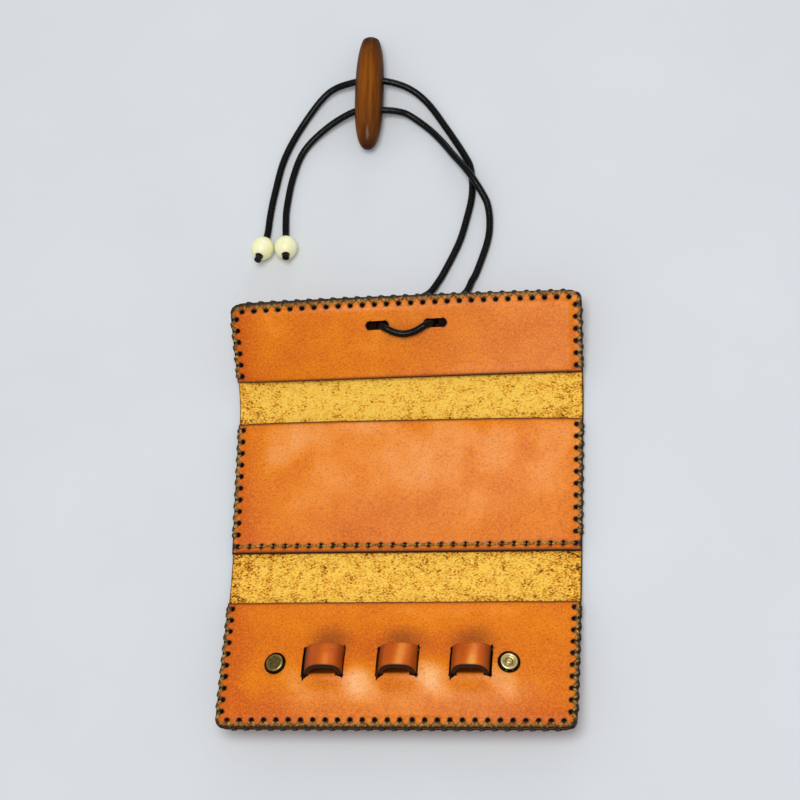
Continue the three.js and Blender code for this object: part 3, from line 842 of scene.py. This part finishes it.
def bend(mesh, thickness, surfaces, tones):
    """Shapes a flat sheet: surfaces gives its back and front as out from the cover, tones what to paint."""
    x, s, t = vertices_of(mesh).T
    back, front, along = surfaces(x, s)
    points = place(x, along, np.where(t > thickness / 2, front, back))
    mesh.vertices.foreach_set("co", points.astype(np.float32).ravel())
    for name, values in tones(x, s).items():
        paint(mesh, name, values)
    mesh.update()
    return mesh


def dye_and_shade(distance, width):
    """1 at an edge or within a hole, falling to 0 a width away from it."""
    return np.clip(1 - distance / width, 0, 1)


def lace_shade(holes, x, s):
    """1 in a wedge from each hole to the edge, where the leather lies dark between two laces."""
    edge = edge_distance(x, s)
    aside = np.sqrt(np.maximum(nearest(holes, x, s) ** 2 - (edge - SIDE_INSET) ** 2, 0))
    return smooth((1.2 - edge / SIDE_INSET - aside / 2) / 0.4)


def slit_outlines():
    """Upright cuts with room for the strip, and a narrow spike past each of its edges."""
    inside = STRIP / 2 + STRIP_GAP
    outside = inside + SLIT_ROOM
    core = STRIP_WIDTH / 2 - 0.1
    outlines = []
    for middle, _ in LOOPS:
        for side in (-1, 1):
            spike = side * (outside - 0.4)
            low, high = (side * SLIT_SHIFT + end * SLIT_LENGTH / 2 for end in (-1, 1))
            outer = [(side * outside, -core), (side * outside, core), (spike, high)]
            inner = [(-side * inside, core), (-side * inside, -core), (spike, low)]
            at = (middle + side * LOOP_SPAN / 2, STRIP_S)
            outlines.append((np.array(outer + inner) + at)[::side])
    return outlines


def slot_shade(x, s):
    """1 behind the cord slots: painted shade on the suede seen through them."""
    beside = np.min([np.maximum(np.abs(x - at) - SLOT_STRAIGHT / 2, 0) for at in SLOTS_X], axis=0)
    return np.clip(2.5 - np.hypot(beside, s - SLOT_S) / SLOT_HEIGHT * 2, 0, 1)


def panel_piece(name, rows, cuts, lift, mouths, painted_light, painted_shade=nothing, strain=nothing, draw=nothing):
    """A pocket panel, laced at the case's edge and open at its mouths."""
    holes = LACE_HOLES[name]

    def mouth_distance(s):
        return np.min([np.abs(s - mouth) for mouth in mouths], axis=0)

    def surfaces(x, s):
        edge = np.minimum(mouth_distance(s), edge_distance(x, s))
        roll = rolled(edge)
        dip = 0.25 * hump(nearest(holes, x, s), 1.2)
        base = COVER + lift(x, s) + ripple(x, s) * (1 - pinch(x, s)) * smooth(edge / 4) + strain(x, s)
        front = base + PANEL - roll - FRONT_PINCH * pinch(x, s) - dip
        return base + roll, front, s - draw(x, s)

    def tones(x, s):
        # Rim: dyed mouths, edges and cuts, darker round the holes, and painted shade between the laces and
        # round the loops.
        rims = [dye_and_shade(mouth_distance(s), MOUTH_DYE), dye_and_shade(edge_distance(x, s), EDGE_DYE), painted_shade(x, s)]
        rims += [dye_and_shade(nearest(holes, x, s) - HOLE_R, HOLE_DYE_AND_SHADE), 0.85 * lace_shade(holes, x, s)]
        if cuts:
            rims.append(dye_and_shade(nearest(np.concatenate(cuts), x, s), 0.9 * HOLE_DYE_AND_SHADE))
        # Deeper towards the left edge and the mouths, plus each panel's painted light and shade.
        worn = smooth((HALF + x) / 14) * smooth(mouth_distance(s) / 5 + 0.4)
        return {"rim": np.max(rims, axis=0), "worn": worn + painted_light(x, s)}

    outlines = [circle(x, s, HOLE_R) for x, s in holes] + cuts
    mesh = cut(slab(rows, PANEL_STEP, PANEL, PANEL_LEATHER, SUEDE, EDGE), *prisms(outlines))
    mesh = bend(mesh, PANEL, surfaces, tones)
    return finish_piece(f"{name}_panel", mesh, f"{name}_pocket")


# Painted shade: the flap drawn darker all over, most towards its right.
def flap_painted_shade(x, s):
    return -0.12 - 0.16 * smooth((x + 20) / 40)


def middle_painted_light(x, s):
    """Painted light: paler towards the mouth, deeper towards the stitches."""
    return 0.55 * (2 * s - MIDDLE_START - MIDDLE_END) / (MIDDLE_END - MIDDLE_START)


def lower_painted_light(x, s):
    """Painted highlights beside each slit's lower end, where the loops draw the leather, painted shade round
    the strip, and darker towards the bottom corners and the bottom edge.
    """
    painted_light = -hump(s - STRIP_S - 5, 9.5) * (0.45 + 0.5 * hump(x, 26))
    corner = smooth((np.abs(x) - 22) / 20) * np.where(x < 0, 0.8, 0.6)
    painted_light = painted_light - corner * smooth((STRIP_S - s - 4) / 10) - 0.35 * smooth((LOW_EDGE + 9 - s) / 5)
    for middle, _ in LOOPS:
        for aside, share in ((-4.5, 0.9), (5.0, 1.6)):  # beyond each leg, and how bright its painted highlight is
            beside = x - middle - math.copysign(LOOP_SPAN / 2, aside) - aside
            painted_light = painted_light + share * hump(beside, 4.2) * hump(s - STRIP_S + 5.5 + 0.4 * beside, 5)
    return painted_light


def lower_painted_shade(x, s):
    """Painted shade under each loop and above it, where the plectra go in."""
    painted_shade = 0
    for middle, lean in LOOPS:
        above = 0.45 * hump(x - middle - lean, 8.5) * hump(s - STRIP_S - 8.5, 6.5)
        under = smooth((s - STRIP_S + 4.9) / 0.8) * smooth(STRIP_S + 5.5 - s)
        painted_shade = painted_shade + np.maximum(above, 0.74 * under * smooth(5.5 - np.abs(x - middle)))
    return painted_shade


def lower_draw(x, s):
    return LOWER_DRAW * across(x) * smooth((s - STRIP_S) / (LOWER_END - STRIP_S))


def loop_strain(x, s):
    """The lower panel pulled up beside and below each loop and pressed down under the rivets."""
    swell = 0
    for middle, _ in LOOPS:
        for aside in (-1, 1):
            beside = x - middle - aside * (LOOP_SPAN / 2 + 1.5)
            swell = swell + LEG_SWELL * hump(beside, 4) * hump(s - STRIP_S + 2, 6)
        swell = swell + LOOP_SWELL * hump(x - middle, 6) * hump(s - STRIP_S + 5.3, 3.2)
    for rivet in RIVET_X.values():
        swell = swell - RIVET_PRESS * hump(x - rivet, 4.5) * hump(s - STRIP_S, 4.5)
    return swell


flap_rows = np.concatenate([graded(FLAP_START, HIGH_EDGE - CORNER, PANEL_STEP)[:-len(ROLL_ROWS)], HIGH_ROWS])
slot_outlines = [slot_outline(x) for x in SLOTS_X]
flap_panel = panel_piece("flap", flap_rows, slot_outlines, flap_lift, [FLAP_START], flap_painted_shade)
middle_rows = graded(MIDDLE_START, MIDDLE_END, PANEL_STEP)
middle_panel = panel_piece("middle", middle_rows, [], middle_lift, [MIDDLE_START, MIDDLE_END], middle_painted_light)
lower_rows = np.concatenate([LOW_ROWS, graded(LOW_EDGE + CORNER, LOWER_END, PANEL_STEP)[len(ROLL_ROWS):]])
rivet_outlines = [circle(x, STRIP_S, RIVET_HOLE_R, 20) for x in RIVET_X.values()]
lower_panel = panel_piece("lower", lower_rows, slit_outlines() + rivet_outlines, lower_lift, [LOWER_END],
                          lower_painted_light, lower_painted_shade, loop_strain, lower_draw)


def cover_piece():
    """The one-piece cover: suede inside, smooth leather outside, dark at its edges and behind the holes."""
    def surfaces(x, s):
        roll = rolled(edge_distance(x, s))
        dip = 0.4 * hump(nearest(ALL_HOLES, x, s), 0.9)
        back = BACK_PINCH * pinch(x, s) + roll + dip
        return back, COVER - roll, s

    def tones(x, s):
        hole = nearest(ALL_HOLES, x, s)
        # The cover is not pierced for the laces: a dark spot is painted under each hole as the shade inside
        # it.
        rims = [dye_and_shade(edge_distance(x, s), COVER_DYE), dye_and_shade(hole - HOLE_R, HOLE_DYE_AND_SHADE), slot_shade(x, s)]
        soil = np.where(s < MIDDLE_END - 5, 0.3, -0.1) + np.exp(-(HALF - np.abs(x)) / 7)
        # Painted shade: dense dark flecks at the bottom of each lace hole, under the pocket.
        soil = soil + 6 * smooth((2 - hole) / 0.6)
        for mouth, share in ((LOWER_END, 0.5), (MIDDLE_START, 0.6), (MIDDLE_END, 1.2), (FLAP_START, 0.4)):
            soil = soil + share * np.exp(-np.abs(s - mouth) / 1.4)
        return {"rim": np.max(rims, axis=0), "soil": soil, "worn": np.full(len(x), 0.5)}

    between = np.linspace(LOW_EDGE + CORNER, HIGH_EDGE - CORNER, 130)[1:-1]
    rows = np.concatenate([LOW_ROWS, between, HIGH_ROWS])
    outlines = [circle(x, s, CORD_HOLE_R, 20) for x, s in CORD_HOLES]
    mesh = cut(slab(rows, COVER_STEP, COVER, SUEDE, COVER_LEATHER, EDGE), *prisms(outlines))
    mesh = bend(mesh, COVER, surfaces, tones)
    return finish_piece("cover_sheet", mesh, "cover")


cover_sheet = cover_piece()


# Loop strip and rivets

def strip_stations():
    """The strip's middle line: x, height off the panel's middle surface, and its share of a loop's height."""
    turn_r = STRIP / 2 + STRIP_GAP
    under = -(PANEL / 2 + STRIP_GAP + STRIP / 2)
    angles = np.linspace(0, np.pi / 2, 9)
    turn = [(turn_r * (1 - math.sin(a)), under + turn_r * (1 - math.cos(a))) for a in angles]
    starts = [middle - LOOP_SPAN / 2 for middle, _ in LOOPS]
    stops = [start - 2 for start in starts[1:]] + [RIVET_X["right"] + STRIP_END]
    stations = [(x, under, 0) for x in np.linspace(RIVET_X["left"] - STRIP_END, starts[0] - 2, 16)]
    for (middle, lean), start, stop in zip(LOOPS, starts, stops):
        end = middle + LOOP_SPAN / 2
        stations += [(start - away, height, 0) for away, height in turn]
        for angle in np.linspace(0, np.pi, 49):
            sides = (math.cos(angle), math.sin(angle))
            along, arch = (math.copysign(abs(v) ** (2 / LOOP_SQUARE), v) for v in sides)
            stations.append((middle - LOOP_SPAN / 2 * along + lean * arch, PANEL / 2, arch))
        stations += [(end + away, height, 0) for away, height in reversed(turn)]
        stations += [(x, under, 0) for x in np.linspace(end + 2, stop, 12)]
    return np.array(stations).T


def strip_section():
    """A rounded strip section as places across it and through it, from -1 to 1."""
    half, round_r = STRIP_WIDTH / 2, 0.5
    flat = np.linspace(-half + round_r, half - round_r, 15)
    turn = np.linspace(-np.pi / 2, np.pi / 2, 7)[1:-1]
    right = np.column_stack([half - round_r + round_r * np.cos(turn), STRIP / 2 * np.sin(turn)])
    low = np.column_stack([flat, np.full(len(flat), -STRIP / 2)])
    return np.concatenate([low, right, -low, -right]) / np.array((half, STRIP / 2))


def loop_tones(x):
    """Painted shade on the flanks of the loops, and how pale their painted highlight is drawn over their
    crowns.
    """
    flank_shade, crown_highlight = np.zeros(len(x)), np.zeros(len(x))
    for middle, lean in LOOPS:
        share = (x - middle - 0.5 * lean) / (LOOP_SPAN / 2)
        within = np.abs(x - middle) < LOOP_SPAN / 2 + 2
        left = 0.5 * smooth((-share - 0.4) / 0.6) + 0.4 * smooth((-share - 0.9) / 0.1)
        right = 0.4 * smooth((share - 0.5) / 0.4) + 0.5 * smooth((share - 0.9) / 0.1)
        flank_shade = np.where(within, np.maximum(left, right), flank_shade)
        crown_highlight = np.where(within, 0.5 + 1.15 * hump(share - 0.2, 0.3), crown_highlight)
    return flank_shade, crown_highlight


def loop_band_piece():
    """The strip that weaves in and out of the lower pocket, its loops higher at their lower edge."""
    x, height, arch = strip_stations()
    section = strip_section()
    fall = LOOP_LOW - LOOP_HIGH
    reach = np.sqrt(STRIP_WIDTH**2 - (arch * fall) ** 2) / 2
    rings = []
    for share, side in section:
        level = height + arch * ((LOOP_LOW + LOOP_HIGH) / 2 - share * fall / 2 - STRIP / 2)
        run, climb = np.gradient(x), np.gradient(level)
        offset = side * STRIP / 2 / np.hypot(run, climb)
        s = STRIP_S + share * reach + offset * run * arch * fall / STRIP_WIDTH
        out = COVER + lower_lift(x, s) + PANEL / 2 + level + offset * run
        rings.append(place(x - offset * climb, s, out))
    mesh = mesh_of(*loft(np.stack(rings, 1)[:, ::-1]), STRIP_LEATHER)
    flank_shade, crown_highlight = loop_tones(x)
    band = section[::-1, 0]
    edge = np.maximum(smooth((-band - 0.86) / 0.1), smooth((band - 0.92) / 0.06))
    # Rim: the strip's dyed edges, and painted shade on the loops' flanks.
    paint(mesh, "rim", np.maximum(edge[None], flank_shade[:, None]).ravel())
    # Painted highlight over the loops' crowns.
    paint(mesh, "worn", np.repeat(crown_highlight, len(section)))
    return finish_piece("loop_band", mesh, "loop_strip", 60)


def rivet_seat(x):
    """The panel's front under a rivet, with its own normal as local Z."""
    def front(at_x, at_s):
        return place(at_x, at_s, COVER + lower_lift(at_x, at_s) + loop_strain(at_x, at_s) + PANEL)

    sideways = unit(front(x + 3, STRIP_S) - front(x - 3, STRIP_S))
    normal = unit(np.cross(sideways, front(x, STRIP_S + 3) - front(x, STRIP_S - 3)))
    return np.column_stack([sideways, np.cross(normal, sideways), normal]), front(x, STRIP_S)


RIVET_CAPS = {  # radius and height of the cap from its edge to its middle
    "left": (
        (RIVET_R, 0.0), (RIVET_R, 0.35), (3.5, 0.55), (3.3, 0.5), (3.15, 0.45), (2.95, 0.66),
        (2.7, 0.84), (2.4, 0.93), (2.0, 0.95), (1.2, 0.95), (0.01, 0.95),
    ),
    "right": (
        (RIVET_R, 0.0), (RIVET_R, 0.3), (3.45, 0.5), (3.1, 0.42), (2.85, 0.65), (2.5, 0.9), (2.1, 0.9),
        (1.75, 0.55), (1.4, 0.45), (1.1, 0.55), (0.8, 0.8), (0.5, 0.95), (0.3, 0.95), (0.01, 0.95),
    ),
}
RIVET_PATINA_AND_SHADE = {  # radius and how dark the cap is drawn there: patina in its grooves, painted shade round its outer edge
    "left": ((0, 0.5), (2.2, 0.45), (2.5, 0.0), (2.8, 0.1), (3.0, 1)),
    "right": ((0, 0.5), (0.3, 0), (0.8, 0.1), (1.15, 0.7), (1.4, 0.6), (1.7, 0), (2.6, 0), (2.85, 1)),
}
# Lit and shaded copies of one brass: the right cap is drawn brighter as painted light, the left darker as
# painted shade.
RIVET_BRASS = {
    "left": antique_brass("antique_brass_shaded_copy", colour(178, 154, 92), colour(120, 98, 46)),
    "right": antique_brass("antique_brass_lit_copy", colour(244, 222, 160), colour(206, 178, 108)),
}


def rivet_piece(side):
    """A set rivet: its cap on the panel, its shank, and its back behind the strip."""
    facing, at = rivet_seat(RIVET_X[side])
    back = -(PANEL + STRIP + 2 * STRIP_GAP)
    stem = [(0.01, back - RIVET_BACK), (RIVET_BACK_R, back - RIVET_BACK), (RIVET_BACK_R, back),
            (RIVET_SHANK, back), (RIVET_SHANK, RIVET_LIFT)]
    cap = curve_through(RIVET_CAPS[side], 4) + (0, RIVET_LIFT)
    outline = np.concatenate([stem, cap])
    outline[:, 0] = np.maximum(outline[:, 0], 0.01)
    points, faces = loft(lathe(outline, 48))
    radius = np.hypot(points[:, 0], points[:, 1])
    mesh = mesh_of(points @ facing.T + at, faces, RIVET_BRASS[side])
    paint(mesh, "rim", np.interp(radius, *np.transpose(RIVET_PATINA_AND_SHADE[side])))
    return finish_piece(f"rivet_cap_{side}", mesh, f"rivet_{side}", 50)


loop_band = loop_band_piece()
for side in RIVET_X:
    rivet_piece(side)


# Lacing

FRONT_OUT = COVER + SEAM + PANEL - FRONT_PINCH
WHIP = (  # share of the way to the next hole, share of the hole's inset, height over the front and the back
    (0.0, 0.9, -1.2, -1.2), (0.0, 0.87, -0.25, -0.25), (0.06, 0.7, 0.14, 0.1),
    (0.24, 0.4, 0.2, 0.15), (0.40, 0.1, 0.06, 0.04), (0.46, -0.05, -0.5, -0.5),
)
WHIP_ROUTE = curve_through([
    *[(share, inset, FRONT_OUT + over) for share, inset, over, _ in WHIP],
    (0.5, -0.07, (FRONT_OUT + BACK_PINCH) / 2),
    *[(1 - share, inset, BACK_PINCH - over) for share, inset, _, over in reversed(WHIP)],
], 3)


def whip(rim, start, end, over):
    """A lace from a hole's front over the edge to another hole's back, and its painted shade along the way.
    """
    share, inset, out = WHIP_ROUTE.T
    apart = LACE_APART * np.sign(end - start)
    along = start + apart + (end - start - 2 * apart) * share
    depth = inset * (rim.inset(start) + (rim.inset(end) - rim.inset(start)) * share)
    facing = unit(np.column_stack([np.gradient(out), -np.gradient(depth)]))
    crest = over * hump(share - 0.5, 0.16)
    depth, out = depth + crest * facing[:, 0], out + crest * facing[:, 1]

    def lay(d, o):
        return place(*rim.at(along, d), o)

    path = lay(depth, out)
    normal = unit(lay(depth + 0.1 * facing[:, 0], out + 0.1 * facing[:, 1]) - path)
    width = LACE_WIDTH * (0.75 + 0.35 * smooth(1 - np.abs(inset)))
    # Painted shade: dark near the hole and where the lace goes over the edge.
    painted_shade = np.maximum(0.94 * smooth((0.36 - inset) / 0.3), smooth((inset - 0.56) / 0.2))
    return loft(tube(path, normal, width, LACE_HIGH)), np.repeat(painted_shade, TUBE_SIDES)


def lacing_piece(name):
    """A pocket's crossed laces, and a straight one at either end."""
    strands = []
    for rim in RIMS[name]:
        for start, end in zip(rim.holes, rim.holes[1:]):
            strands += [whip(rim, start, end, 0.0), whip(rim, end, start, LACE_OVER)]
        strands += [whip(rim, end, end + 1e-3, LACE_OVER) for end in (rim.holes[0], rim.holes[-1])]
    parts, painted_shade = zip(*strands)
    mesh = mesh_of(*merge(parts), LACE)
    # The laces' painted shade, carried as the rim value.
    paint(mesh, "rim", np.concatenate(painted_shade))
    return finish_piece(f"lacing_{name}", mesh)


def stitching_piece():
    """A row of stitches along the middle pocket's lower edge, seen on both of its faces."""
    parts = []
    share, rise = np.transpose(STITCH)
    front = COVER + middle_lift(0, STITCH_S) + PANEL - FRONT_PINCH
    for (start, s), (end, _) in zip(STITCH_HOLES, STITCH_HOLES[1:]):
        x = start + (end - start) * share
        slant = s + STITCH_SLANT * (share - 0.5)
        for base, way in ((front, 1), (BACK_PINCH, -1)):
            route = curve_through(np.column_stack([x, slant, base + way * rise]), 4)
            path = place(*route.T)
            normal = place(route[:, 0], route[:, 1], route[:, 2] + way) - path
            parts.append(loft(tube(path, normal, STITCH_WIDTH, STITCH_HIGH)))
    mesh = mesh_of(*merge(parts), LACE)
    paint(mesh, "rim", np.zeros(len(mesh.vertices)))
    return finish_piece("saddle_stitches", mesh)


laces = {name: lacing_piece(name) for name in RIMS}
stitches = stitching_piece()


# The strip's middle line, worked out once more
strip_x, strip_height, strip_arch = strip_stations()


# Floor and light

def make_floor():
    corners = [(x * FLOOR_HALF, y * FLOOR_HALF, 0) for x, y in ((-1, -1), (1, -1), (1, 1), (-1, 1))]
    floor = put("floor", mesh_of(corners, [[0, 1, 2, 3]], pale_floor()))


def soft_light(name, direction, distance, size, power, tint):
    lamp = bpy.data.lights.new(name, "AREA")
    lamp.shape = "DISK"
    lamp.size = size
    lamp.energy = power
    lamp.color = tint
    light = put(name, lamp)
    way = Vector(direction).normalized()
    light.location = way * distance
    light.rotation_euler = way.to_track_quat("Z", "Y").to_euler()


def light_scene():
    world = bpy.data.worlds.new("studio")
    world.use_nodes = True
    background = world.node_tree.nodes["Background"]
    background.inputs["Color"].default_value = WORLD_TINT
    background.inputs["Strength"].default_value = WORLD_STRENGTH
    bpy.context.scene.world = world
    bpy.context.scene.view_settings.view_transform = "Standard"
    for name, light in LIGHTS.items():
        soft_light(name, *light)


make_floor()
light_scene()
